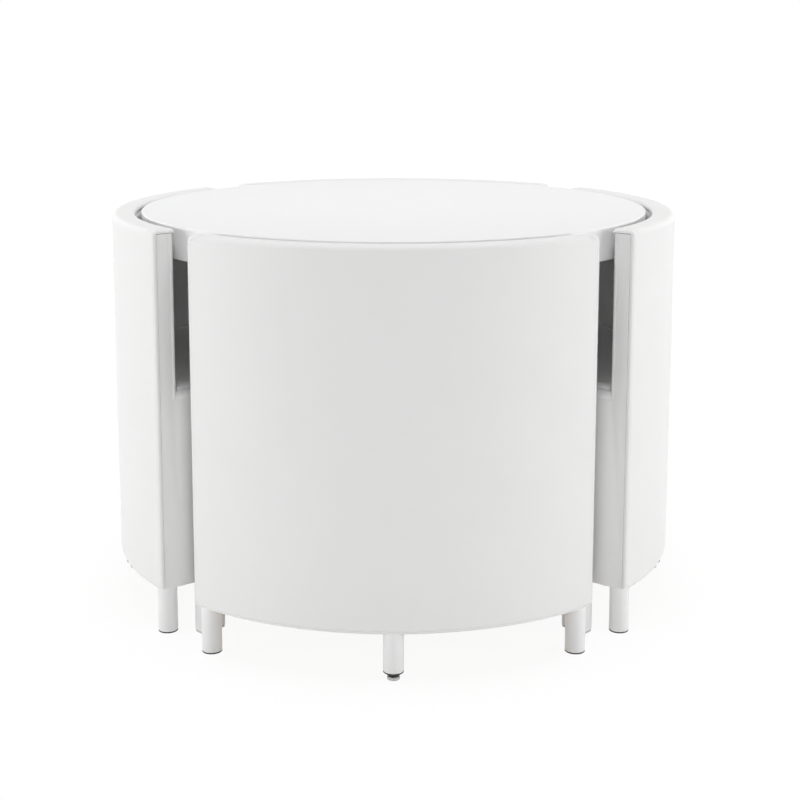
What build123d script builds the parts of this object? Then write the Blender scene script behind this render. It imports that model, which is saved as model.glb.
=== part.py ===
from build123d import *

import os
from math import asin, cos, degrees, radians, sin, sqrt

# A round dining table with four upholstered chairs. Each chair is a quarter of a drum: closed up, the four
# curved backs make one cylinder round the table, and the wedge seats lie under its top.
# Millimetres. The origin is on the floor below the middle of the table, +Z is up, and -Y is the front.

# Driving sizes of the set
set_diameter = 1100.0
table_height = 750.0
chair_drop = 2.0
chair_floor_gap = 87.0
chair_half_angle = 40.0
seat_board_height = 392.0
cushion_height = 78.0
wall_thickness = 42.0
table_gap = 14.0

# Clearances
soft_gap = 0.3
fit_gap = 0.3
thread_gap = 0.15

# Table top: a lacquered skin with a deep rim, a core board and a lower panel let into the rim
rim_height = 60.0
rim_width = 30.0
top_skin = 8.0
lower_panel = 8.0
rim_upper_round = 3.0
rim_lower_round = 1.5

# Table legs: flat steel tubes set radially, each with a plate welded to its inner face and a glide below
leg_depth = 54.0
leg_width = 22.0
leg_wall = 2.0
leg_corner = 2.5
leg_polar_angle = 43.4
leg_setback = 0.5
plate_thickness = 4.0
plate_length = 62.0
plate_width = 64.0
glide_height = 5.0
glide_inset = 1.5
glide_insert = 14.0

# Cross rails between opposite table legs
rail_height = 25.0
rail_width = 20.0
rail_wall = 2.0

# Screws that hold the leg plates
screw_radius = 2.0
screw_head_radius = 4.6
screw_head_height = 2.4
screw_length = 11.0
screw_edge = 10.0

# Chair back: an outer cover that rolls over the top, a bent plywood core and an inner pad
cover_thickness = 6.0
core_thickness = 15.0
pad_crown = 3.5
pad_edge_round = 5.0
cover_top_round = 9.5
cover_inner_round = 5.5
cover_bottom_round = 4.0

# Seat: a wedge with a rounded nose, wrapped by the side cover and topped by the cushion
side_thickness = 8.0
arm_round = 6.0
nose_centre = 200.0
frame_wall = 12.0
base_thickness = 15.0
seat_edge_round = 20.0
dome_radius = 3600.0

# Chair legs: round tubes with end plugs; the middle one at the back has a levelling foot
tube_radius = 18.0
tube_wall = 1.5
plug_height = 2.5
plug_insert = 12.0
plug_insert_side = 20.0
end_leg_setback = 22.5
end_leg_angle = 37.9
inner_leg_spread = 70.0
inner_leg_setback = 35.0
cap_thickness = 3.0
foot_height = 13.0
middle_leg_margin = 0.5

# Levelling foot
stem_radius = 5.0
stem_length = 46.0
stem_ball_radius = 6.0
nut_corner_radius = 9.5
nut_height = 5.0
pad_radius = 11.2
pad_height = 5.0
pad_floor = 2.2
pad_bevel = 1.2

# Worked out from the sizes above
set_radius = set_diameter / 2
wall_inner = set_radius - wall_thickness
cover_inner = set_radius - cover_thickness
core_inner = cover_inner - core_thickness
chair_height = table_height - chair_drop
roll_bottom = chair_height - cover_thickness
seat_top_height = seat_board_height + cushion_height
top_radius = wall_inner - table_gap
slab_bottom = table_height - rim_height
core_radius = top_radius - rim_width
base_top = chair_floor_gap + base_thickness
nose_radius = nose_centre * sin(radians(chair_half_angle))
leg_middle = top_radius - leg_setback - leg_depth / 2
leg_inner = leg_middle - leg_depth / 2
plate_bottom = slab_bottom - plate_thickness
leg_angles = [leg_polar_angle, 180 - leg_polar_angle, 180 + leg_polar_angle, 360 - leg_polar_angle]
middle_leg_ring = set_radius - tube_radius - middle_leg_margin

os.makedirs("parts", exist_ok=True)


def keep(piece, name):
    """Labels a finished piece and writes it to its own file."""
    piece.part.label = name
    export_step(piece.part, f"parts/{name}.step")


def upright(angle):
    """The upright plane through the set's axis at a polar angle, with x outwards and y up."""
    out = radians(angle)
    return Plane(origin=(0, 0, 0), x_dir=(cos(out), sin(out), 0), z_dir=(sin(out), -cos(out), 0))


def turned(angle, radius, height):
    """A level plane at a polar angle and radius, with x outwards."""
    out = radians(angle)
    spot = (radius * cos(out), radius * sin(out), height)
    return Plane(origin=spot, x_dir=(cos(out), sin(out), 0), z_dir=(0, 0, 1))


# Table top

with BuildPart() as table_top:
    with BuildSketch(Plane.XZ):
        with Locations((0, table_height - top_skin)):
            Rectangle(top_radius, top_skin, align=(Align.MIN, Align.MIN))
        with Locations((core_radius, slab_bottom)):
            Rectangle(rim_width, rim_height, align=(Align.MIN, Align.MIN))
    revolve(axis=Axis.Z)
    rim_edges = table_top.edges().filter_by(GeomType.CIRCLE).group_by(SortBy.RADIUS)[-1]
    fillet(rim_edges.sort_by(Axis.Z)[-1], rim_upper_round)
    rim_edges = table_top.edges().filter_by(GeomType.CIRCLE).group_by(SortBy.RADIUS)[-1]
    fillet(rim_edges.sort_by(Axis.Z)[0], rim_lower_round)

with BuildPart() as top_core:
    with BuildSketch(Plane.XY.offset(slab_bottom + lower_panel)):
        Circle(core_radius - fit_gap)
    extrude(amount=rim_height - top_skin - lower_panel)

with BuildPart() as lower_board:
    with BuildSketch(Plane.XY.offset(slab_bottom)):
        Circle(core_radius - fit_gap)
    extrude(amount=lower_panel)

# Leg plates, which lie against the lower panel, and the screws that hold them to it

plate_middle = leg_inner - plate_length / 2
screw_x = plate_length / 2 - screw_edge
screw_y = plate_width / 2 - screw_edge

with BuildPart() as leg_plates:
    for angle in leg_angles:
        with BuildSketch(turned(angle, plate_middle, plate_bottom)):
            Rectangle(plate_length, plate_width)
            with GridLocations(2 * screw_x, 2 * screw_y, 2, 2):
                Circle(screw_radius + fit_gap, mode=Mode.SUBTRACT)
        extrude(amount=plate_thickness)

with BuildPart() as leg_screws:
    for angle in leg_angles:
        with BuildSketch(turned(angle, plate_middle, plate_bottom)):
            with GridLocations(2 * screw_x, 2 * screw_y, 2, 2):
                Circle(screw_radius)
        extrude(amount=screw_length)
        with BuildSketch(turned(angle, plate_middle, plate_bottom - screw_head_height)):
            with GridLocations(2 * screw_x, 2 * screw_y, 2, 2):
                RegularPolygon(screw_head_radius, 6)
        extrude(amount=screw_head_height)

with BuildPart() as screw_holes:
    for angle in leg_angles:
        with BuildSketch(turned(angle, plate_middle, slab_bottom)):
            with GridLocations(2 * screw_x, 2 * screw_y, 2, 2):
                Circle(screw_radius + thread_gap)
        extrude(amount=screw_length - plate_thickness + fit_gap)

with lower_board:
    add(screw_holes.part, mode=Mode.SUBTRACT)

# Table legs and glides

table_legs = {}
for name, angle in zip(("right_back", "left_back", "left_front", "right_front"), leg_angles):
    with BuildPart() as table_leg:
        with BuildSketch(turned(angle, leg_middle, glide_height)):
            RectangleRounded(leg_depth, leg_width, leg_corner)
            Rectangle(leg_depth - 2 * leg_wall, leg_width - 2 * leg_wall, mode=Mode.SUBTRACT)
        extrude(amount=slab_bottom - glide_height)
    table_legs[f"table_leg_{name}"] = table_leg

with BuildPart() as table_glides:
    for angle in leg_angles:
        with BuildSketch(turned(angle, leg_middle, 0)):
            Rectangle(leg_depth - 2 * glide_inset, leg_width - 2 * glide_inset)
        extrude(amount=glide_height)
        with BuildSketch(turned(angle, leg_middle, glide_height)):
            Rectangle(leg_depth - 2 * (leg_wall + fit_gap), leg_width - 2 * (leg_wall + fit_gap))
        extrude(amount=glide_insert)

# Cross rails: one runs through, and the other is cut in two where it meets the first

rail_length = 2 * leg_inner


def rail(angle):
    """A hollow rail across the middle of the table at a polar angle."""
    with BuildPart() as tube:
        with BuildSketch(turned(angle, 0, plate_bottom - rail_height)):
            Rectangle(rail_length, rail_width)
        extrude(amount=rail_height)
        with BuildSketch(turned(angle, 0, plate_bottom - rail_height + rail_wall)):
            Rectangle(rail_length, rail_width - 2 * rail_wall)
        extrude(amount=rail_height - 2 * rail_wall, mode=Mode.SUBTRACT)
    return tube


long_rail = rail(leg_angles[0])

with BuildPart() as short_rails:
    add(rail(leg_angles[1]).part)
    with BuildSketch(turned(leg_angles[0], 0, plate_bottom - rail_height)):
        Rectangle(rail_length, rail_width)
    extrude(amount=rail_height, mode=Mode.SUBTRACT)

for name, piece in {
    "table_top": table_top,
    "table_top_core": top_core,
    "table_lower_panel": lower_board,
    "table_leg_plates": leg_plates,
    "table_leg_screws": leg_screws,
    "table_leg_glides": table_glides,
    "table_long_rail": long_rail,
    "table_short_rails": short_rails,
    **table_legs,
}.items():
    keep(piece, name)

# The pieces of one chair follow, made where the front chair stands, facing -Y.

front = 270.0


def side_point(hand, distance, inset):
    """A point of a seat side's line, this far from the axis along it and moved inwards by the inset."""
    turn = radians(chair_half_angle)
    across = distance * sin(turn) - inset * cos(turn)
    return (hand * across, -distance * cos(turn) - inset * sin(turn))


def wedge(inset, outer_radius):
    """The plan of a seat wedge: two straight sides, a round nose and the arc of the back."""
    nose_end = nose_centre * cos(radians(chair_half_angle))
    side_end = sqrt(outer_radius**2 - inset**2)
    right_back = side_point(1, side_end, inset)
    left_back = side_point(-1, side_end, inset)
    left_nose = side_point(-1, nose_end, inset)
    right_nose = side_point(1, nose_end, inset)
    with BuildSketch() as plan:
        with BuildLine():
            ThreePointArc(right_back, (0, -outer_radius), left_back)
            Line(left_back, left_nose)
            ThreePointArc(left_nose, (0, nose_radius - inset - nose_centre), right_nose)
            Line(right_nose, right_back)
        make_face()
    return plan.sketch


# Outer cover of the back: the curved skin and the roll over the top edge

with BuildPart() as back_cover:
    with BuildSketch(upright(front - chair_half_angle)) as cover_profile:
        with Locations((cover_inner, chair_floor_gap)):
            Rectangle(cover_thickness, chair_height - chair_floor_gap, align=(Align.MIN, Align.MIN))
        with Locations((wall_inner, roll_bottom)):
            Rectangle(wall_thickness, cover_thickness, align=(Align.MIN, Align.MIN))
        fillet(cover_profile.vertices().group_by(Axis.Y)[-1].sort_by(Axis.X)[-1], cover_top_round)
        fillet(cover_profile.vertices().group_by(Axis.Y)[-1].sort_by(Axis.X)[0], cover_inner_round)
        fillet(cover_profile.vertices().group_by(Axis.Y)[0].sort_by(Axis.X)[-1], cover_bottom_round)
    revolve(axis=Axis.Z, revolution_arc=2 * chair_half_angle)

# Plywood core and inner pad, both short of the side cover at their ends

core_half = chair_half_angle - degrees(asin((side_thickness + fit_gap) / core_inner))
pad_half = chair_half_angle - degrees(asin((side_thickness + soft_gap) / wall_inner))
pad_bottom = seat_board_height + soft_gap
pad_top = roll_bottom - soft_gap
pad_outer = core_inner - soft_gap
pad_inner = wall_inner + pad_crown / 2
pad_middle = (pad_bottom + pad_top) / 2

with BuildPart() as back_core:
    with BuildSketch(upright(front - core_half)):
        with Locations((core_inner, base_top)):
            Rectangle(core_thickness - fit_gap, roll_bottom - base_top, align=(Align.MIN, Align.MIN))
    revolve(axis=Axis.Z, revolution_arc=2 * core_half)

with BuildPart() as back_pad:
    with BuildSketch(upright(front - pad_half)):
        with BuildLine():
            Line((pad_inner, pad_bottom), (pad_outer, pad_bottom))
            Line((pad_outer, pad_bottom), (pad_outer, pad_top))
            Line((pad_outer, pad_top), (pad_inner, pad_top))
            ThreePointArc((pad_inner, pad_top), (pad_inner - pad_crown, pad_middle), (pad_inner, pad_bottom))
        make_face()
    revolve(axis=Axis.Z, revolution_arc=2 * pad_half)
    arcs = back_pad.edges().filter_by(GeomType.CIRCLE)
    fillet(arcs.filter_by(lambda edge: abs(edge.center().Z - pad_middle) < pad_edge_round), pad_edge_round)

# Seat form: the whole upholstered seat, with its domed top and soft upper edges

dome_middle = (nose_centre + wall_inner) / 2

with BuildPart() as seat_form:
    with BuildSketch(Plane.XY.offset(chair_floor_gap)):
        add(wedge(0, wall_inner))
    extrude(amount=seat_top_height - chair_floor_gap)
    with Locations((0, -dome_middle, seat_top_height - dome_radius)):
        Sphere(dome_radius, mode=Mode.INTERSECT)
    fillet(seat_form.faces().sort_by(Axis.Z)[-1].edges(), seat_edge_round)

# Side cover: the skin round the seat form, with an arm that runs up each end of the back

arm_bottom = seat_top_height - seat_edge_round

with BuildPart() as side_cover:
    add(seat_form.part)
    with BuildSketch(Plane.XY.offset(chair_floor_gap)):
        add(wedge(0, cover_inner - fit_gap))
        Circle(wall_inner, mode=Mode.SUBTRACT)
    extrude(amount=arm_bottom - chair_floor_gap)
    with BuildSketch(Plane.XY.offset(arm_bottom)) as arm_plan:
        add(wedge(0, cover_inner - fit_gap))
        Circle(wall_inner, mode=Mode.SUBTRACT)
        fillet(arm_plan.vertices().sort_by(Axis.Y)[-2:], arm_round)
    extrude(amount=roll_bottom - arm_bottom)
    with BuildSketch(Plane.XY.offset(chair_floor_gap)):
        add(wedge(side_thickness, set_radius))
    extrude(amount=roll_bottom - chair_floor_gap, mode=Mode.SUBTRACT)

# Seat cushion: the part of the seat form that lies inside the side cover, down to the seat board

cushion_bottom = seat_board_height + soft_gap
cushion_radius = wall_inner - pad_crown / 2 - soft_gap

with BuildPart() as seat_cushion:
    with BuildSketch(Plane.XY.offset(cushion_bottom)):
        add(wedge(side_thickness + soft_gap, cushion_radius))
    extrude(amount=seat_top_height - cushion_bottom)
    add(seat_form.part, mode=Mode.INTERSECT)

# Seat frame: a plywood box, open below, that fills the wedge inside the side cover

seat_inset = side_thickness + fit_gap
seat_radius = core_inner - fit_gap

with BuildPart() as seat_frame:
    with BuildSketch(Plane.XY.offset(base_top)):
        add(wedge(seat_inset, seat_radius))
    extrude(amount=seat_board_height - base_top)
    with BuildSketch(Plane.XY.offset(base_top)):
        add(wedge(seat_inset + frame_wall, seat_radius - frame_wall))
    extrude(amount=seat_board_height - base_top - frame_wall, mode=Mode.SUBTRACT)

# Chair legs stand under the base board: two at the ends of the back, two under the nose, one at the middle

end_spot = radians(end_leg_angle)
end_leg_ring = set_radius - end_leg_setback
plain_leg_spots = [
    (end_leg_ring * sin(end_spot), -end_leg_ring * cos(end_spot)),
    (-end_leg_ring * sin(end_spot), -end_leg_ring * cos(end_spot)),
    (inner_leg_spread, inner_leg_setback - nose_centre),
    (-inner_leg_spread, inner_leg_setback - nose_centre),
]
middle_spot = (0, -middle_leg_ring)
tube_inner = tube_radius - tube_wall

with BuildPart() as base_board:
    with BuildSketch(Plane.XY.offset(chair_floor_gap)):
        add(wedge(seat_inset, cover_inner - fit_gap))
    extrude(amount=base_thickness)


def leg_tube(spots, bottom):
    """Tubes with closed tops, from this height up to the base board."""
    with BuildPart() as tube:
        with BuildSketch(Plane.XY.offset(bottom)):
            with Locations(*spots):
                Circle(tube_radius)
                Circle(tube_inner, mode=Mode.SUBTRACT)
        extrude(amount=chair_floor_gap - bottom)
        with BuildSketch(Plane.XY.offset(chair_floor_gap - cap_thickness)):
            with Locations(*spots):
                Circle(tube_radius)
        extrude(amount=cap_thickness)
    return tube


chair_legs = leg_tube(plain_leg_spots, plug_height)
middle_leg = leg_tube([middle_spot], foot_height + plug_height)

with BuildPart() as leg_plugs:
    for spots, bottom in ((plain_leg_spots, 0), ([middle_spot], foot_height)):
        with BuildSketch(Plane.XY.offset(bottom)):
            with Locations(*spots):
                Circle(tube_radius)
        extrude(amount=plug_height)
        with BuildSketch(Plane.XY.offset(bottom + plug_height)):
            with Locations(*spots):
                Rectangle(plug_insert_side, plug_insert_side)
        extrude(amount=plug_insert)
    with BuildSketch(Plane.XY.offset(foot_height)):
        with Locations(middle_spot):
            Circle(stem_radius + thread_gap)
    extrude(amount=plug_height + plug_insert, mode=Mode.SUBTRACT)

# Levelling foot: a threaded stem with a nut, whose ball end turns in the socket of a glide

nut_bottom = pad_height + fit_gap

with BuildPart() as foot_stem:
    with BuildSketch(Plane.XY.offset(nut_bottom)):
        with Locations(middle_spot):
            RegularPolygon(nut_corner_radius, 6)
    extrude(amount=nut_height)
    with BuildSketch(Plane.XY.offset(pad_floor)):
        with Locations(middle_spot):
            Circle(stem_ball_radius)
    extrude(amount=nut_bottom - pad_floor)
    with BuildSketch(Plane.XY.offset(nut_bottom)):
        with Locations(middle_spot):
            Circle(stem_radius)
    extrude(amount=stem_length)

with BuildPart() as foot_glide:
    with BuildSketch(Plane.XY):
        with Locations(middle_spot):
            Circle(pad_radius)
    extrude(amount=pad_height)
    rims = foot_glide.edges().filter_by(GeomType.CIRCLE)
    chamfer(rims.sort_by(Axis.Z)[-1], pad_bevel)
    with BuildSketch(Plane.XY.offset(pad_floor)):
        with Locations(middle_spot):
            Circle(stem_ball_radius + fit_gap)
    extrude(amount=pad_height - pad_floor, mode=Mode.SUBTRACT)

# The four chairs, each turned to its own side of the table

chair_pieces = {
    "back_cover": back_cover,
    "back_core": back_core,
    "back_pad": back_pad,
    "side_cover": side_cover,
    "seat_frame": seat_frame,
    "seat_cushion": seat_cushion,
    "base_board": base_board,
    "legs": chair_legs,
    "middle_leg": middle_leg,
    "leg_plugs": leg_plugs,
    "foot_stem": foot_stem,
    "foot_glide": foot_glide,
}

for side, turn in {"front": 0, "right": 90, "back": 180, "left": 270}.items():
    for name, piece in chair_pieces.items():
        with BuildPart() as placed:
            add(piece.part, rotation=(0, 0, turn))
        keep(placed, f"{side}_{name}")
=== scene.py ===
import bmesh
import bpy
import math
from mathutils import Matrix, Vector


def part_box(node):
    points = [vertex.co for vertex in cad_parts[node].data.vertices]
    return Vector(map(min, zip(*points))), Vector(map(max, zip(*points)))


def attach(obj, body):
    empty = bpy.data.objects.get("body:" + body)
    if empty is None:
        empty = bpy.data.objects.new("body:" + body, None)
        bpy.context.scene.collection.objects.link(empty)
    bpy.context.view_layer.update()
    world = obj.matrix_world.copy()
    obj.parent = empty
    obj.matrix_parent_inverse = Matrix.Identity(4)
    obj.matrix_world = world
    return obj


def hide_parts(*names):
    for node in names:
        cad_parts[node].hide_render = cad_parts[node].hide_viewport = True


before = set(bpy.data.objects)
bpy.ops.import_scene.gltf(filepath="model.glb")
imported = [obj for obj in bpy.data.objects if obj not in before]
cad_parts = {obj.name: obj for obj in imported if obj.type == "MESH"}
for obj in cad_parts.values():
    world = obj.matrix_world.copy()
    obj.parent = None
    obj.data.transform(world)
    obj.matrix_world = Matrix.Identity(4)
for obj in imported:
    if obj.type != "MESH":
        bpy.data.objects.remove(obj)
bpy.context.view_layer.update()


# White leatherette, the finish of every cover: a soft vinyl face with a fine pebbled grain, a little
# uneven in gloss. This first section also holds the two small classes that all finishes are written with,
# one for sums on sockets and one for nodes.

class Value:
    """A socket in sums written as plain expressions, which add Math nodes to its finish."""

    def __init__(self, finish, socket):
        self.finish = finish
        self.socket = socket

    def sum_with(self, operation, first, second):
        return self.finish.node("ShaderNodeMath", {"operation": operation}, {0: first, 1: second})

    def __add__(self, other):
        return self.sum_with("ADD", self, other)

    def __radd__(self, other):
        return self.sum_with("ADD", other, self)

    def __rsub__(self, other):
        return self.sum_with("SUBTRACT", other, self)

    def __mul__(self, other):
        return self.sum_with("MULTIPLY", self, other)

    def __rmul__(self, other):
        return self.sum_with("MULTIPLY", other, self)


SEEN_RAYS = ("Camera", "Glossy", "Transmission")


class Finish:
    """A material on an empty sheet. node() adds one node: its settings first, then its inputs."""

    def __init__(self, name, shelf=bpy.data.materials):
        self.material = shelf.new(name)
        self.material.use_nodes = True
        self.tree = self.material.node_tree
        self.tree.nodes.clear()

    def node(self, kind, settings, inputs, output=0):
        node = self.tree.nodes.new(kind)
        for name, value in settings.items():
            setattr(node, name, value)
        for name, value in inputs.items():
            if isinstance(value, Value):
                self.tree.links.new(value.socket, node.inputs[name])
            else:
                node.inputs[name].default_value = value
        return Value(self, node.outputs[output]) if node.outputs else None

    def place(self):
        return self.node("ShaderNodeTexCoord", {}, {}, "Object")

    def noise(self, scale, detail=2.0):
        return self.node("ShaderNodeTexNoise", {}, {"Vector": self.place(), "Scale": scale, "Detail": detail})

    def blend(self, mask, first, second):
        return self.node("ShaderNodeMix", {"data_type": "RGBA"}, {0: mask, 6: first, 7: second}, 2)

    def bump(self, height, strength, distance):
        return self.node("ShaderNodeBump", {}, {"Height": height, "Strength": strength, "Distance": distance})

    def output(self, surface, kind="ShaderNodeOutputMaterial"):
        self.node(kind, {}, {"Surface": surface})

    def in_sight(self):
        """One where the camera, a reflection or clear glass looks straight at it, and zero for its light."""
        rays = [self.node("ShaderNodeLightPath", {}, {}, f"Is {kind} Ray") for kind in SEEN_RAYS]
        return rays[0] + rays[1] + rays[2]

    def surface(self, inputs):
        self.output(self.node("ShaderNodeBsdfPrincipled", {}, inputs))
        return self.material


leather = Finish("white_leatherette")
pebbles = leather.node("ShaderNodeTexVoronoi", {"feature": "DISTANCE_TO_EDGE"},
                       {"Vector": leather.place(), "Scale": 620.0})
leather_cloud = leather.noise(9.0)
leatherette = leather.surface({
    "Base Color": leather.blend(leather_cloud, (0.87, 0.87, 0.865, 1.0), (0.90, 0.90, 0.895, 1.0)),
    "Roughness": 0.50 + 0.12 * leather_cloud,
    "Normal": leather.bump(pebbles, 0.25, 0.0004),
    "Specular IOR Level": 0.3,
})

# Outer cover of a chair back: one curved sheet of leatherette that comes up from the skirt, rolls over thin
# foam on the top edge and is tucked in at the inside. It is glued over bent plywood, folded round both ends,
# and has two sewn cross seams near each end of the roll. The front chair is made first.

half_turn = math.radians(40.0)
wall = 0.042
cover_thickness = 0.006
roll_lift = 0.0014
roll_bulge = 0.0025
top_round = 0.0115
inner_round = 0.0080
skirt_round = 0.004
end_round = 0.0048
roll_seams = (0.0125, 0.0185)
seam_half = 0.0009
seam_depth = 0.0013
hem_rise = 0.0055
hem_fold = 0.0012
corner_rise = 0.003
corner_reach = 0.016
curve_steps = 96
end_steps = 4
crease = math.radians(38.0)
hair = 0.00001
level = (0.0, 0.0, 1.0)

cover_low, cover_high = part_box("front_back_cover")
drum_radius = -cover_low.y
skirt = cover_low.z - hem_fold
chair_top = cover_high.z + roll_lift
wall_inner = drum_radius - wall
cover_inner = drum_radius - cover_thickness
roll_bottom = cover_high.z - cover_thickness
roll_inner = wall_inner - roll_bulge
side_out = Vector((math.sin(half_turn), -math.cos(half_turn), 0.0))
side_in = Vector((-math.cos(half_turn), -math.sin(half_turn), 0.0))


def up(height):
    return Vector((0.0, 0.0, height))


def settle():
    """Puts the piece's origin on the set's own, unturned, with its place in its mesh."""
    bpy.ops.object.transform_apply(location=True, rotation=True, scale=True)


def first_point(place):
    """Starts a piece from one point: a small plane merged at its middle."""
    bpy.ops.object.select_all(action="DESELECT")
    bpy.ops.mesh.primitive_plane_add(size=wall, location=place)
    settle()
    bpy.ops.object.mode_set(mode="EDIT")
    bpy.ops.mesh.select_all(action="SELECT")
    bpy.ops.mesh.merge(type="CENTER")
    return bpy.context.object


def draw(*steps):
    """Extrudes what is selected by each step in turn."""
    for step in steps:
        bpy.ops.mesh.extrude_region_move(TRANSFORM_OT_translate={"value": step})


def pick(piece, kind, test):
    """Selects the points, edges or faces that pass: an edge by both its ends, a face by its middle."""
    bpy.ops.mesh.select_mode(type=kind)
    bpy.ops.mesh.select_all(action="DESELECT")
    mesh = bmesh.from_edit_mesh(piece.data)
    for item in {"VERT": mesh.verts, "EDGE": mesh.edges, "FACE": mesh.faces}[kind]:
        if kind == "VERT":
            item.select_set(test(item.co))
        elif kind == "EDGE":
            item.select_set(all(test(end.co) for end in item.verts))
        else:
            item.select_set(test(item.calc_center_median()))
    mesh.select_flush_mode()
    bmesh.update_edit_mesh(piece.data)


def cut(place, across):
    """Cuts the selected faces along a plane, so that a seam or fold can follow it."""
    bpy.ops.mesh.bisect(plane_co=place, plane_no=across)


def done(piece, name, finish):
    """Leaves edit mode with the normals pointing out, and gives the piece its name, shading and finish."""
    bpy.ops.mesh.select_all(action="SELECT")
    bpy.ops.mesh.remove_doubles(threshold=hair)
    bpy.ops.mesh.normals_make_consistent(inside=False)
    bpy.ops.object.mode_set(mode="OBJECT")
    bpy.ops.object.shade_smooth_by_angle(angle=crease)
    piece.name = name
    piece.data.name = name
    piece.data.materials.clear()
    piece.data.materials.append(finish)


def inset_of(place):
    """How far a place lies inside the nearer side line of the front chair's wedge."""
    return side_in.y * place.y + side_in.x * abs(place.x)


def soften_corners(piece):
    """Draws the lower corners at both ends up a little, as the folded leatherette is there."""
    pick(piece, "VERT", lambda spot: spot.z < skirt + hem_rise and spot.xy.length > cover_inner - end_round
         and inset_of(spot) < end_round + hair)
    bpy.ops.transform.translate(value=up(corner_rise), use_proportional_edit=True,
                                proportional_edit_falloff="SMOOTH", proportional_size=corner_reach)


outer_cover = first_point((cover_inner, 0.0, skirt))
draw(up(roll_bottom - skirt), (roll_inner - cover_inner, 0, 0), up(chair_top - roll_bottom),
     (drum_radius - roll_inner, 0, 0), up(skirt - chair_top))
bpy.ops.mesh.select_all(action="SELECT")
bpy.ops.mesh.edge_face_add()
for across, height, size, steps in (
    (drum_radius, chair_top, top_round, 8),
    (roll_inner, chair_top, inner_round, 6),
    (drum_radius, skirt, skirt_round, 4),
):
    pick(outer_cover, "VERT", lambda spot: abs(spot.x - across) < hair and abs(spot.z - height) < hair)
    bpy.ops.mesh.bevel(affect="VERTICES", offset=size, segments=steps)
bpy.ops.mesh.select_all(action="SELECT")
bpy.ops.mesh.spin(steps=curve_steps, angle=2 * half_turn, center=(0, 0, 0), axis=level)
bpy.ops.object.mode_set(mode="OBJECT")
outer_cover.rotation_euler.z = half_turn - math.pi / 2
settle()
bpy.ops.object.mode_set(mode="EDIT")
pick(outer_cover, "EDGE", lambda spot: inset_of(spot) < hair and spot.z > skirt + hair
     and (spot.xy.length > cover_inner + skirt_round or spot.z > roll_bottom + hair))
bpy.ops.mesh.bevel(affect="EDGES", offset=end_round, segments=end_steps, clamp_overlap=False)
for distance in roll_seams:
    for hand in (-1, 1):
        across = Vector((hand * side_in.x, side_in.y, 0.0))
        for shift in (-seam_half, 0.0, seam_half):
            bpy.ops.mesh.select_all(action="SELECT")
            cut(across * (distance + shift), across)
    pick(outer_cover, "VERT", lambda spot: abs(inset_of(spot) - distance) < hair
         and spot.z > roll_bottom + hair)
    bpy.ops.transform.translate(value=up(-seam_depth))
for shift in (-seam_half, 0.0, seam_half):
    bpy.ops.mesh.select_all(action="SELECT")
    cut(up(skirt + hem_rise + shift), level)
pick(outer_cover, "VERT", lambda spot: abs(spot.z - skirt - hem_rise) < hair
     and spot.xy.length > cover_inner + skirt_round)
hem_pull = 1 - seam_depth / drum_radius
bpy.ops.transform.resize(value=(hem_pull, hem_pull, 1.0), center_override=(0, 0, 0))
soften_corners(outer_cover)
done(outer_cover, "front_outer_cover", leatherette)
chair_pieces = [(outer_cover, ["back_cover"], "leatherette", "chair")]

# Side cover of a chair: one panel of leatherette on plywood, L-shaped on each side, with the arm that closes
# the end of the back above and the side of the seat below, and wrapped round the nose. Its upper edge turns
# in softly over the foam and is sewn there to the seat. The arm has a seam near its inner edge.

nose_centre = Vector((0.0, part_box("front_side_cover")[1].y / (1 - math.sin(half_turn)), 0.0))
nose_radius = -nose_centre.y * math.sin(half_turn)
nose_reach = -nose_centre.y * math.cos(half_turn)
panel_thickness = 0.0075
panel_seam = 0.0010
panel_reach = cover_inner - panel_seam
panel_top = roll_bottom - panel_seam
seat_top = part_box("front_seat_cushion")[1].z
soft_round = 0.020
soft_turn = math.radians(54.0)
soft_steps = 4
soft_overlap = 0.007
arm_round = 0.0078
arm_steps = 5
arm_seam = 0.0092
edge_ease = 0.0015
edge_angle = math.radians(50.0)
nose_steps = 24
crown_radius = 3.6
crown_middle = (nose_centre.y - wall_inner) / 2
arm_bottom = seat_top - soft_round


def crown_drop(spot):
    """How far the domed seat lies below its highest point at a place."""
    return (spot.x ** 2 + (spot.y - crown_middle) ** 2) / (2 * crown_radius)


def on_left(step):
    return Vector((-step.x, step.y, step.z))


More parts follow.
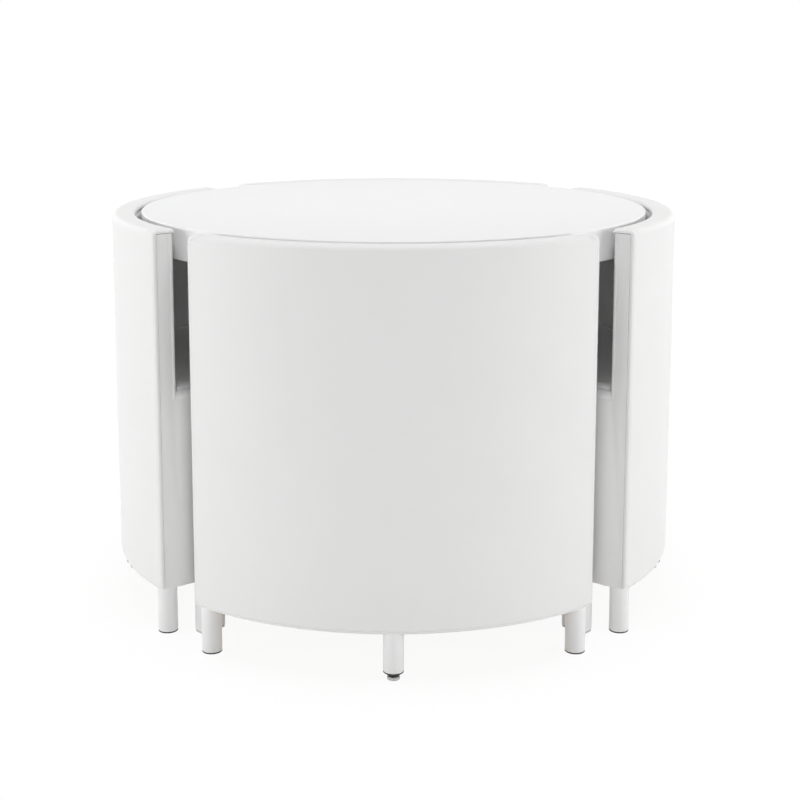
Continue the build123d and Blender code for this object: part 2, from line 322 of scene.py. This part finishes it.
side_cover = first_point(side_out * nose_reach + up(skirt))
draw(side_out * (wall_inner - nose_reach), side_out * (panel_reach - wall_inner))
pick(side_cover, "VERT", lambda spot: spot.xy.length < nose_reach + hair)
bpy.ops.mesh.spin(steps=nose_steps, angle=2 * half_turn - math.pi, center=nose_centre + up(skirt), axis=level)
draw(on_left(side_out) * (wall_inner - nose_reach), on_left(side_out) * (panel_reach - wall_inner))
bpy.ops.mesh.select_mode(type="EDGE")
bpy.ops.mesh.select_all(action="SELECT")
draw(up(arm_bottom - skirt))
pick(side_cover, "EDGE", lambda spot: spot.z > arm_bottom - hair and spot.xy.length > wall_inner - hair)
draw(up(panel_top - arm_bottom))
pick(side_cover, "EDGE", lambda spot: abs(spot.z - arm_bottom) < hair and spot.xy.length < wall_inner + hair)
inset = 0.0
for step in range(1, soft_steps + 1):
    turn = soft_turn * step / soft_steps
    deeper = soft_round * (1 - math.cos(turn))
    height = arm_bottom + soft_round * math.sin(turn)
    draw(up(height - arm_bottom - soft_round * math.sin(turn - soft_turn / soft_steps)))
    pull = (nose_radius - deeper) / (nose_radius - inset)
    pick(side_cover, "VERT", lambda spot: abs(spot.z - height) < hair and spot.xy.length < wall_inner - wall)
    bpy.ops.transform.resize(value=(pull, pull, 1.0), center_override=nose_centre)
    for hand in (-1, 1):
        pick(side_cover, "VERT", lambda spot: abs(spot.z - height) < hair
             and spot.xy.length > wall_inner - wall and spot.x * hand > 0)
        slip = side_in * (deeper - inset) + side_out * (soft_overlap if step == 1 else 0.0)
        bpy.ops.transform.translate(value=(hand * slip.x, slip.y, 0))
    inset = deeper
    pick(side_cover, "EDGE", lambda spot: abs(spot.z - height) < hair and spot.xy.length < panel_reach - hair)
bpy.ops.mesh.select_all(action="SELECT")
bpy.ops.mesh.normals_make_consistent(inside=False)
bpy.ops.object.mode_set(mode="OBJECT")
for point in side_cover.data.vertices:
    if arm_bottom - hair < point.co.z < seat_top and point.co.xy.length < panel_reach - hair:
        point.co.z -= crown_drop(point.co)
panel_skin = side_cover.modifiers.new("panel", "SOLIDIFY")
panel_skin.thickness = panel_thickness
panel_skin.offset = -1.0
panel_skin.use_even_offset = True
bpy.ops.object.modifier_apply(modifier="panel")
bpy.ops.object.mode_set(mode="EDIT")
pick(side_cover, "EDGE", lambda spot: abs(spot.xy.length - wall_inner) < hair and abs(inset_of(spot)) < hair
     and spot.z > arm_bottom - wall)
bpy.ops.mesh.bevel(affect="EDGES", offset=arm_round, segments=arm_steps, clamp_overlap=False)
for hand in (-1, 1):
    across = Vector((hand * side_out.x, side_out.y, 0.0))
    for shift in (-seam_half, 0.0, seam_half):
        pick(side_cover, "FACE", lambda spot: spot.z > seat_top and spot.x * hand > 0)
        cut(across * (wall_inner + arm_seam + shift), across)
for hand in (-1, 1):
    pick(side_cover, "VERT", lambda spot: abs(spot.xy.length - wall_inner - arm_seam) < hair
         and abs(inset_of(spot)) < hair and spot.x * hand > 0)
    bpy.ops.transform.translate(value=(hand * side_in.x * seam_depth, side_in.y * seam_depth, 0))
bpy.ops.object.mode_set(mode="OBJECT")
ease = side_cover.modifiers.new("ease", "BEVEL")
ease.width = edge_ease
ease.segments = 3
ease.limit_method = "ANGLE"
ease.angle_limit = edge_angle
bpy.ops.object.modifier_apply(modifier="ease")
bpy.ops.object.mode_set(mode="EDIT")
soften_corners(side_cover)
done(side_cover, "front_side_panel", leatherette)
chair_pieces.append((side_cover, ["side_cover"], "leatherette", "chair"))

# Seat of a chair: a foam wedge under leatherette, crowned in the middle and soft at its edges, sewn to the
# side cover all round and tucked down at the back. It is swelled by a cloth simulation.

voxel = 0.0055
swell = 0.004
swell_side = 0.0003
swell_frames = 20
air_pressure = 4.0
cushion_gap = 0.0006
back_gap = 0.0025
seat_folds = ((0.0045, 0.0024), (0.0075, 0.0012))
tuck_drop = 0.0216
seat_steps = 28
seat_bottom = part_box("front_seat_cushion")[0].z
seat_inset = soft_round * (1 - math.cos(soft_turn)) + cushion_gap
seat_edge = arm_bottom + soft_round * math.sin(soft_turn) - cushion_gap
seat_reach = wall_inner - back_gap


def swelled(piece, lowest, way):
    """Remeshes a pad and blows it up as cloth. Each point then moves only a little, mostly the given way."""
    bpy.context.view_layer.objects.active = piece
    piece.select_set(True)
    piece.data.remesh_voxel_size = voxel
    bpy.ops.object.voxel_remesh()
    rest = [point.co.copy() for point in piece.data.vertices]
    cloth = piece.modifiers.new("cloth", "CLOTH")
    cloth.settings.use_pressure = True
    cloth.settings.uniform_pressure_force = air_pressure
    cloth.settings.effector_weights.gravity = 0.0
    for frame_number in range(1, swell_frames + 1):
        bpy.context.scene.frame_set(frame_number)
    bpy.ops.object.modifier_apply(modifier="cloth")
    bpy.context.scene.frame_set(1)
    for point, start in zip(piece.data.vertices, rest):
        moved = point.co - start
        along = way(start)
        outward = moved.dot(along)
        aside = moved - along * outward
        free = min(1.0, max(0.0, (start.z - lowest) / wall))
        outward = max(-swell_side, min(swell, outward)) * free
        if aside.length > swell_side:
            aside *= swell_side / aside.length
        point.co = start + along * outward + aside * free


seat = first_point(nose_centre - side_in * (nose_radius - seat_inset) + up(seat_bottom))
side_length = math.sqrt(seat_reach ** 2 - seat_inset ** 2) - nose_reach
draw(side_out * side_length)
bpy.ops.mesh.spin(steps=seat_steps, angle=2 * (half_turn - math.asin(seat_inset / seat_reach)),
                  center=up(seat_bottom), axis=level)
draw(on_left(side_out) * -side_length)
bpy.ops.mesh.spin(steps=nose_steps, angle=math.pi - 2 * half_turn, center=nose_centre + up(seat_bottom),
                  axis=level)
bpy.ops.mesh.select_all(action="SELECT")
bpy.ops.mesh.remove_doubles(threshold=hair)
bpy.ops.mesh.edge_face_add()
draw(up(seat_edge - seat_bottom))
for width, rise in seat_folds:
    bpy.ops.mesh.inset(thickness=width, depth=rise)
pick(seat, "VERT", lambda spot: spot.z > seat_edge - hair and spot.xy.length > seat_reach - hair)
bpy.ops.transform.translate(value=up(-tuck_drop))
bpy.ops.object.mode_set(mode="OBJECT")
for point in seat.data.vertices:
    if point.co.z > arm_bottom - wall:
        point.co.z -= crown_drop(point.co)
swelled(seat, seat_bottom, lambda spot: Vector(level))
bpy.ops.object.mode_set(mode="EDIT")
done(seat, "front_seat", leatherette)
fuller = seat.modifiers.new("fuller", "SUBSURF")
fuller.levels = fuller.render_levels = 1
bpy.ops.object.modifier_apply(modifier="fuller")
chair_pieces.append((seat, ["seat_cushion"], "padded_leatherette", "chair"))

# Inner pad of a chair back: a slab of foam under leatherette, bent along the plywood, slightly crowned and
# tucked under the roll above, the seat below and the arms at both ends.

pad_bottom, pad_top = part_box("front_back_pad")[0].z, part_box("front_back_pad")[1].z
pad_inset = 0.0087
pad_start = 0.0005
pad_depth = 0.0195
pad_round = 0.006
pad_steps = 48
pad_half = half_turn - math.asin(pad_inset / wall_inner)

back_pad = first_point((wall_inner + pad_start, 0.0, pad_bottom))
draw(up(pad_top - pad_bottom - pad_start), (pad_depth, 0, 0), up(pad_bottom - pad_top + pad_start))
bpy.ops.mesh.select_all(action="SELECT")
bpy.ops.mesh.edge_face_add()
pick(back_pad, "VERT", lambda spot: spot.x < wall_inner + hair + pad_start)
bpy.ops.mesh.bevel(affect="VERTICES", offset=pad_round, segments=4)
bpy.ops.mesh.select_all(action="SELECT")
bpy.ops.mesh.spin(steps=pad_steps, angle=2 * pad_half, center=(0, 0, 0), axis=level)
bpy.ops.object.mode_set(mode="OBJECT")
back_pad.rotation_euler.z = pad_half - math.pi / 2
settle()
swelled(back_pad, pad_bottom - wall, lambda spot: Vector((-spot.x, -spot.y, 0.0)).normalized())
bpy.ops.object.mode_set(mode="EDIT")
done(back_pad, "front_back_lining", leatherette)
fuller = back_pad.modifiers.new("fuller", "SUBSURF")
fuller.levels = fuller.render_levels = 1
bpy.ops.object.modifier_apply(modifier="fuller")
chair_pieces.append((back_pad, ["back_pad"], "padded_leatherette", "chair"))

# Topstitching: rows of thick white thread beside the seams at both ends of each back, on the outer wall and
# on the arm. One stitch is a flattened bead, repeated up the row.

stitch_pitch = 0.0045
stitch_half = 0.0016
stitch_radius = 0.0006
stitch_slant = math.radians(5.0)
wall_row = 0.0070
arm_outer_row = 0.0042
arm_inner_row = 0.0122
row_start = 0.010
row_end = 0.0035
row_tuck = 0.012
row_bottom = skirt + row_start
row_top = roll_bottom - row_end
arm_row_bottom = seat_top - row_tuck

thread_white = Finish("sewing_thread")
twist = thread_white.node("ShaderNodeTexWave", {"bands_direction": "DIAGONAL"},
                          {"Vector": thread_white.place(), "Scale": 900.0})
thread = thread_white.surface({
    "Base Color": thread_white.blend(twist, (0.80, 0.80, 0.79, 1.0), (0.88, 0.88, 0.87, 1.0)),
    "Roughness": 0.55,
})


def stitch_row(place, rise, count):
    """One row of stitches, from its first place, along a direction."""
    bpy.ops.object.select_all(action="DESELECT")
    bpy.ops.mesh.primitive_uv_sphere_add(segments=8, ring_count=5, radius=stitch_radius, location=place)
    row = bpy.context.object
    row.scale.z = stitch_half / stitch_radius
    row.rotation_euler = Vector(level).rotation_difference(rise).to_euler()
    row.rotation_euler.rotate_axis("X", stitch_slant)
    settle()
    repeat = row.modifiers.new("row", "ARRAY")
    repeat.count = count
    repeat.use_relative_offset = False
    repeat.use_constant_offset = True
    repeat.constant_offset_displace = rise * stitch_pitch
    bpy.ops.object.modifier_apply(modifier="row")
    return row


wall_turn = half_turn - math.asin(wall_row / drum_radius)
rows = []
for hand in (-1, 1):
    out = Vector((hand * side_out.x, side_out.y, 0.0))
    on_wall = Vector((hand * math.sin(wall_turn), -math.cos(wall_turn), 0.0)) * drum_radius
    tall = int((row_top - row_bottom) / stitch_pitch)
    short = int((row_top - arm_row_bottom) / stitch_pitch)
    rows.append(stitch_row(on_wall + up(row_bottom), up(1.0), tall))
    rows.append(stitch_row(out * (panel_reach - arm_outer_row) + up(row_bottom), up(1.0), tall))
    rows.append(stitch_row(out * (wall_inner + arm_inner_row) + up(arm_row_bottom), up(1.0), short))
    across = int((panel_reach - wall_inner - arm_inner_row - arm_outer_row) / stitch_pitch)
    across_start = out * (wall_inner + arm_inner_row + stitch_pitch / 2)
    rows.append(stitch_row(across_start + up(panel_top - arm_outer_row), out, across))
bpy.ops.object.select_all(action="DESELECT")
for row in rows:
    row.select_set(True)
bpy.context.view_layer.objects.active = rows[0]
bpy.ops.object.join()
stitches = rows[0]
bpy.ops.object.mode_set(mode="EDIT")
done(stitches, "front_topstitching", thread)
chair_pieces.append((stitches, [], "leatherette", "chair"))

# Chair legs: round steel tubes, coated white, with a turned-in rim at the floor end. Two stand at the ends of
# the back, two under the nose and a shorter one, for the levelling foot, at the middle of the back.

white_coat = Finish("white_coated_steel")
coat_speck = white_coat.noise(1400.0)
coat_cloud = white_coat.noise(14.0)
white_steel = white_coat.surface({
    "Base Color": white_coat.blend(coat_cloud, (0.90, 0.90, 0.90, 1.0), (0.93, 0.93, 0.93, 1.0)),
    "Roughness": 0.24 + 0.10 * coat_cloud,
    "Normal": white_coat.bump(coat_speck, 0.12, 0.0002),
    "Specular IOR Level": 0.5,
})

tube_radius = 0.018
tube_wall = 0.0015
tube_ease = 0.0006
tube_open = 0.008
nose_legs = 0.070
legs_low, legs_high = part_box("front_legs")
end_spot = Vector((legs_high.x - tube_radius, legs_low.y + tube_radius, 0.0))
nose_spot = Vector((nose_legs, legs_high.y - tube_radius, 0.0))
middle_low, middle_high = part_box("front_middle_leg")
middle_spot = Vector((0.0, (middle_low.y + middle_high.y) / 2, 0.0))


def turned_bar(place, radius, bottom, top, sides=48):
    """A round bar in edit mode, its ends closed, between two heights."""
    bpy.ops.object.select_all(action="DESELECT")
    bpy.ops.mesh.primitive_cylinder_add(vertices=sides, radius=radius, depth=top - bottom,
                                        location=(place.x, place.y, (bottom + top) / 2))
    settle()
    bpy.ops.object.mode_set(mode="EDIT")
    return bpy.context.object


def joined(parts):
    """Joins finished parts into the first of them."""
    bpy.ops.object.select_all(action="DESELECT")
    for part in parts:
        part.select_set(True)
    bpy.context.view_layer.objects.active = parts[0]
    bpy.ops.object.join()
    bpy.ops.object.mode_set(mode="EDIT")
    return parts[0]


tubes = []
for place, bottom in (
    (end_spot, legs_low.z),
    (on_left(end_spot), legs_low.z),
    (nose_spot, legs_low.z),
    (on_left(nose_spot), legs_low.z),
    (middle_spot, middle_low.z),
):
    tube = turned_bar(place, tube_radius, bottom, legs_high.z)
    pick(tube, "EDGE", lambda spot: spot.z < bottom + hair)
    bpy.ops.mesh.bevel(affect="EDGES", offset=tube_ease, segments=3)
    pick(tube, "FACE", lambda spot: spot.z < bottom + hair)
    bpy.ops.mesh.inset(thickness=tube_wall)
    draw(up(tube_open))
    bpy.ops.object.mode_set(mode="OBJECT")
    tubes.append(tube)
done(joined(tubes), "front_leg_tubes", white_steel)
chair_pieces.append((tubes[0], ["legs", "middle_leg"], "white_steel", "chair"))

# End plugs of the tubes: black moulded discs as wide as the tube, with an eased rim and a shallow dish
# underneath, pressed in by a square insert. The one in the middle leg has a bore for the foot's screw.

black_mould = Finish("black_moulded_plastic")
mould_cloud = black_mould.noise(60.0)
black_plastic = black_mould.surface({
    "Base Color": black_mould.blend(mould_cloud, (0.010, 0.010, 0.011, 1.0), (0.020, 0.020, 0.021, 1.0)),
    "Roughness": 0.42 + 0.15 * mould_cloud,
    "Normal": black_mould.bump(black_mould.noise(2200.0), 0.15, 0.0001),
})

plug_height = 0.0025
plug_ease = 0.0007
plug_dish = 0.0005
plugs = []
for place, bottom in (
    (end_spot, 0.0),
    (on_left(end_spot), 0.0),
    (nose_spot, 0.0),
    (on_left(nose_spot), 0.0),
    (middle_spot, middle_low.z - plug_height),
):
    plug = turned_bar(place, tube_radius, bottom, bottom + plug_height)
    pick(plug, "EDGE", lambda spot: spot.z < bottom + hair)
    bpy.ops.mesh.bevel(affect="EDGES", offset=plug_ease, segments=3)
    pick(plug, "FACE", lambda spot: spot.z < bottom + hair)
    bpy.ops.mesh.inset(thickness=tube_wall * 2)
    bpy.ops.mesh.inset(thickness=plug_dish, depth=-plug_dish)
    pick(plug, "FACE", lambda spot: spot.z > bottom + plug_height - hair)
    bpy.ops.mesh.inset(thickness=tube_wall * 2)
    draw(up(tube_open / 2))
    bpy.ops.object.mode_set(mode="OBJECT")
    plugs.append(plug)
done(joined(plugs), "front_end_plugs", black_plastic)
chair_pieces.append((plugs[0], ["leg_plugs"], "black_plug", "chair"))

# Levelling foot: a blacked steel screw with a hexagon made on it, turning in a pale plastic floor glide. The
# hexagon has eased corners, and the thread above it runs up into the tube.

dark_steel = Finish("blacked_steel")
steel_cloud = dark_steel.noise(220.0)
black_steel = dark_steel.surface({
    "Base Color": dark_steel.blend(steel_cloud, (0.022, 0.022, 0.024, 1.0), (0.055, 0.055, 0.058, 1.0)),
    "Metallic": 0.85,
    "Roughness": 0.26 + 0.16 * steel_cloud,
    "Normal": dark_steel.bump(dark_steel.noise(1800.0), 0.1, 0.0001),
})

stem_low, stem_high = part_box("front_foot_stem")
glide_low, glide_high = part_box("front_foot_glide")
nut_gap = 0.0003
nut_corner = 0.0095
nut_height = 0.005
nut_ease = 0.0007
stem_radius = 0.005
thread_pitch = 0.0015
thread_depth = 0.88
nut_bottom = glide_high.z + nut_gap
nut = turned_bar(middle_spot, nut_corner, nut_bottom, nut_bottom + nut_height, sides=6)
bpy.ops.mesh.bevel(affect="EDGES", offset=nut_ease, segments=2)
bpy.ops.object.mode_set(mode="OBJECT")
stem = turned_bar(middle_spot, stem_radius, stem_low.z + hair, glide_high.z + nut_height, sides=32)
height = glide_high.z + nut_height
while height < stem_high.z - thread_pitch:
    for depth in (thread_depth, 1 / thread_depth):
        pick(stem, "FACE", lambda spot: spot.z > height - hair)
        draw(up(thread_pitch / 2))
        bpy.ops.transform.resize(value=(depth, depth, 1.0), center_override=middle_spot + up(height))
        height += thread_pitch / 2
bpy.ops.object.mode_set(mode="OBJECT")
done(joined([nut, stem]), "front_foot_screw", black_steel)
chair_pieces.append((nut, ["foot_stem"], "black_steel", "screw"))

pale_mould = Finish("pale_moulded_plastic")
pale_cloud = pale_mould.noise(80.0)
pale_plastic = pale_mould.surface({
    "Base Color": pale_mould.blend(pale_cloud, (0.62, 0.62, 0.61, 1.0), (0.70, 0.70, 0.69, 1.0)),
    "Roughness": 0.38 + 0.12 * pale_cloud,
    "Normal": pale_mould.bump(pale_mould.noise(2000.0), 0.12, 0.0001),
})
glide_radius = (glide_high.x - glide_low.x) / 2
glide_ease = 0.0012
glide = turned_bar(middle_spot, glide_radius, glide_low.z, glide_high.z)
pick(glide, "EDGE", lambda spot: spot.z < glide_low.z + hair)
bpy.ops.mesh.bevel(affect="EDGES", offset=glide_ease / 2, segments=2)
pick(glide, "EDGE", lambda spot: spot.z > glide_high.z - hair)
bpy.ops.mesh.bevel(affect="EDGES", offset=glide_ease, segments=4)
done(glide, "front_floor_glide", pale_plastic)
chair_pieces.append((glide, ["foot_glide"], "pale_plastic", "glide"))

# Bare plywood: the base board that closes each chair below, the box of its seat and the bent core of its
# back. The nodes keep their own shapes, under pale birch with its fine lines along the grain.

birch = Finish("birch_plywood")
birch_grain = birch.node("ShaderNodeTexNoise", {}, {
    "Vector": birch.node("ShaderNodeMapping", {}, {"Vector": birch.place(), "Scale": (14.0, 220.0, 220.0)}),
    "Scale": 1.0, "Detail": 4.0})
birch_plies = birch.node("ShaderNodeTexWave", {"bands_direction": "Z"},
                         {"Vector": birch.place(), "Scale": 105.0})
birch_face = birch.blend(birch_grain, (0.50, 0.36, 0.22, 1.0), (0.66, 0.51, 0.34, 1.0))
plywood = birch.surface({
    "Base Color": birch.blend(0.25 * birch_plies, birch_face, (0.36, 0.23, 0.13, 1.0)),
    "Roughness": 0.62 + 0.12 * birch_grain,
    "Normal": birch.bump(birch_grain, 0.2, 0.0003),
})

# The other three chairs: each piece of the front chair is copied with its own mesh and turned about the
# middle of the set by a quarter, a half and three quarters of a turn. The front chair's own pieces are put
# under their body last, so that no copy takes that tie along.

for side, angle in (("right", 90.0), ("back", 180.0), ("left", 270.0), ("front", 0.0)):
    for piece, nodes, slot_name, body in chair_pieces:
        mine = piece
        if side != "front":
            mine = piece.copy()
            mine.data = piece.data.copy()
            mine.name = piece.name.replace("front", side)
            mine.data.name = mine.name
            mine.data.transform(Matrix.Rotation(math.radians(angle), 4, "Z"))
            bpy.context.scene.collection.objects.link(mine)
        if nodes:
            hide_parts(*[f"{side}_{node}" for node in nodes])
        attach(mine, f"{side}_{body}")
    for node in ("seat_frame", "back_core", "base_board"):
        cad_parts[f"{side}_{node}"].data.materials.clear()
        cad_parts[f"{side}_{node}"].data.materials.append(plywood)

# Table top: a thick disc of board with a deep rim, sprayed with white lacquer and polished. Its upper edge
# is well rounded, the lower one only eased. Below, inside the rim, it is recessed for core and lower panel.

lacquer = Finish("white_lacquer")
lacquer_cloud = lacquer.noise(5.0)
orange_peel = lacquer.noise(260.0, 1.0)
white_lacquer = lacquer.surface({
    "Base Color": lacquer.blend(lacquer_cloud, (0.89, 0.89, 0.89, 1.0), (0.91, 0.91, 0.91, 1.0)),
    "Roughness": 0.30 + 0.08 * lacquer_cloud,
    "Normal": lacquer.bump(orange_peel, 0.04, 0.0003),
    "Specular IOR Level": 0.5,
})

rim_width = 0.030
recess = 0.052
rim_top_round = 0.003
rim_low_round = 0.0015
top_low, top_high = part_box("table_top")
rim_sides = 256
table_disc = turned_bar(Vector((0, 0, 0)), top_high.x, top_low.z, top_high.z, sides=rim_sides)
pick(table_disc, "EDGE", lambda spot: spot.z > top_high.z - hair)
bpy.ops.mesh.bevel(affect="EDGES", offset=rim_top_round, segments=5)
pick(table_disc, "EDGE", lambda spot: spot.z < top_low.z + hair)
bpy.ops.mesh.bevel(affect="EDGES", offset=rim_low_round, segments=3)
pick(table_disc, "FACE", lambda spot: spot.z < top_low.z + hair)
bpy.ops.mesh.inset(thickness=rim_width - rim_low_round)
draw(up(recess))
done(table_disc, "lacquered_table_top", white_lacquer)
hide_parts("table_top")
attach(table_disc, "table")

# Table legs: four flat steel tubes, set radially under the rim and coated white, with rounded corners and an
# eased lower edge. They are welded to the plates under the top, and end in pale glides.

leg_depth = 0.054
leg_width = 0.022
leg_corner = 0.0025
leg_wall = 0.002
leg_setback = 0.0005
leg_turn = math.radians(43.4)
leg_low, leg_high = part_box("table_leg_right_back")
leg_middle = top_high.x - leg_setback - leg_depth / 2
for name, polar in (
    ("right_back", leg_turn),
    ("left_back", math.pi - leg_turn),
    ("left_front", math.pi + leg_turn),
    ("right_front", -leg_turn),
):
    bpy.ops.object.select_all(action="DESELECT")
    bpy.ops.mesh.primitive_cube_add(size=1.0, location=(leg_middle, 0.0, (leg_low.z + leg_high.z) / 2),
                                    scale=(leg_depth, leg_width, leg_high.z - leg_low.z))
    table_leg = bpy.context.object
    settle()
    bpy.ops.object.mode_set(mode="EDIT")
    for hand in (-1, 1):
        for end in (-1, 1):
            pick(table_leg, "EDGE", lambda spot: spot.y * hand > 0 and (spot.x - leg_middle) * end > 0)
            bpy.ops.mesh.bevel(affect="EDGES", offset=leg_corner, segments=4)
    pick(table_leg, "FACE", lambda spot: spot.z < leg_low.z + hair)
    bpy.ops.mesh.inset(thickness=leg_wall)
    draw(up(tube_open))
    bpy.ops.object.mode_set(mode="OBJECT")
    table_leg.rotation_euler.z = polar
    settle()
    bpy.ops.object.mode_set(mode="EDIT")
    done(table_leg, f"coated_leg_{name}", white_steel)
    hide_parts(f"table_leg_{name}")
    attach(table_leg, "table")

# What holds the table together: coated cross rails and leg plates, zinc-plated hexagon screws, the chipboard
# core of the top, its white lower panel, and the glides under the legs. The nodes keep their own shapes.

zinc = Finish("zinc_plated_steel")
zinc_cloud = zinc.noise(300.0)
screw_steel = zinc.surface({
    "Base Color": zinc.blend(zinc_cloud, (0.55, 0.56, 0.57, 1.0), (0.68, 0.69, 0.70, 1.0)),
    "Metallic": 0.95,
    "Roughness": 0.25 + 0.2 * zinc_cloud,
    "Normal": zinc.bump(zinc_cloud, 0.1, 0.0001),
})
chips = Finish("chipboard")
chipboard = chips.surface({
    "Base Color": chips.blend(chips.noise(240.0), (0.42, 0.30, 0.19, 1.0), (0.60, 0.47, 0.32, 1.0)),
    "Roughness": 0.8,
    "Normal": chips.bump(chips.noise(300.0), 0.4, 0.0005),
})
melamine = Finish("white_melamine")
melamine_cloud = melamine.noise(700.0)
white_melamine = melamine.surface({
    "Base Color": melamine.blend(melamine_cloud, (0.78, 0.78, 0.77, 1.0), (0.84, 0.84, 0.83, 1.0)),
    "Roughness": 0.5 + 0.1 * melamine_cloud,
    "Normal": melamine.bump(melamine_cloud, 0.1, 0.0001),
})
for node, finish in (
    ("table_top_core", chipboard),
    ("table_lower_panel", white_melamine),
    ("table_leg_plates", white_steel),
    ("table_leg_screws", screw_steel),
    ("table_leg_glides", pale_plastic),
    ("table_long_rail", white_steel),
    ("table_short_rails", white_steel),
):
    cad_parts[node].data.materials.clear()
    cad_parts[node].data.materials.append(finish)

# The floor and the backdrop: one pale sweep. The camera sees it white, with the set's own soft shadow near
# the middle, and so do reflections.

floor_size = 40.0
shadow_share = 0.113
shadow_reach = 3.0

bpy.ops.object.select_all(action="DESELECT")
bpy.ops.mesh.primitive_plane_add(size=floor_size)
floor = bpy.context.object
floor.name = "studio_floor"
studio = Finish("studio_sweep")
paint = studio.node("ShaderNodeBsdfDiffuse", {}, {"Color": (0.9, 0.9, 0.9, 1.0)})
glow = studio.node("ShaderNodeEmission", {}, {"Color": (1.0, 1.0, 1.0, 1.0), "Strength": 1.038})
around = studio.node("ShaderNodeMapping", {}, {"Vector": studio.place(), "Scale": (1 / shadow_reach,) * 3})
nearness = studio.node("ShaderNodeTexGradient", {"gradient_type": "SPHERICAL"}, {"Vector": around})
round_set = studio.node("ShaderNodeMath", {"operation": "MINIMUM"}, {0: 2.0 * nearness, 1: 1.0})
kept = 1.0 - shadow_share * round_set
studio.output(studio.node("ShaderNodeMixShader", {}, {0: kept * studio.in_sight(), 1: paint, 2: glow}))
floor.data.materials.append(studio.material)

# The light: large soft boxes at both sides, high and low, one over the set and one behind the camera, two
# weaker ones at the back, and a pale room all round.

room_light = 0.20
aim_height = 0.4
room = Finish("studio_room", bpy.data.worlds)
dim = room.node("ShaderNodeBackground", {}, {"Color": (1.0, 1.0, 1.0, 1.0), "Strength": room_light})
bright = room.node("ShaderNodeBackground", {}, {"Color": (1.0, 1.0, 1.0, 1.0), "Strength": 1.0})
seen_or_dim = room.node("ShaderNodeMixShader", {}, {0: room.in_sight(), 1: dim, 2: bright})
room.output(seen_or_dim, "ShaderNodeOutputWorld")
bpy.context.scene.world = room.material

for name, across, depth, height, size, power in (
    ("side", 5.1, 0.15, 1.6, 3.6, 33.0),
    ("low", 4.5, -1.35, 0.9, 1.65, 55.0),
    ("back", 2.6, 1.8, 1.8, 2.4, 20.0),
    ("front", 0.0, -4.0, 1.0, 2.0, 33.0),
    ("top", 0.0, 0.0, 3.2, 2.4, 42.0),
):
    for hand in (-1, 1) if across else (1,):
        bpy.ops.object.light_add(type="AREA", location=(hand * across, depth, height))
        box = bpy.context.object
        box.name = f"{name}_box"
        box.data.size = size
        box.data.energy = power
        box.rotation_euler = (up(aim_height) - box.location).to_track_quat("-Z", "Y").to_euler()

# The camera stands where the photo was taken from, 2.9 m in front of the middle of the set and 1.1 m up,
# looking a little down. The shift only moves the frame.

bpy.ops.object.camera_add(location=(0.0, -2.9317, 1.1069), rotation=(math.radians(80.93), 0.0, 0.0))
camera = bpy.context.object
camera.name = "photo_camera"
camera.data.sensor_width = 36.0
camera.data.lens = 66.895
camera.data.shift_x = 0.0081
camera.data.shift_y = -0.1739
bpy.context.scene.camera = camera
bpy.context.scene.view_settings.view_transform = "Standard"
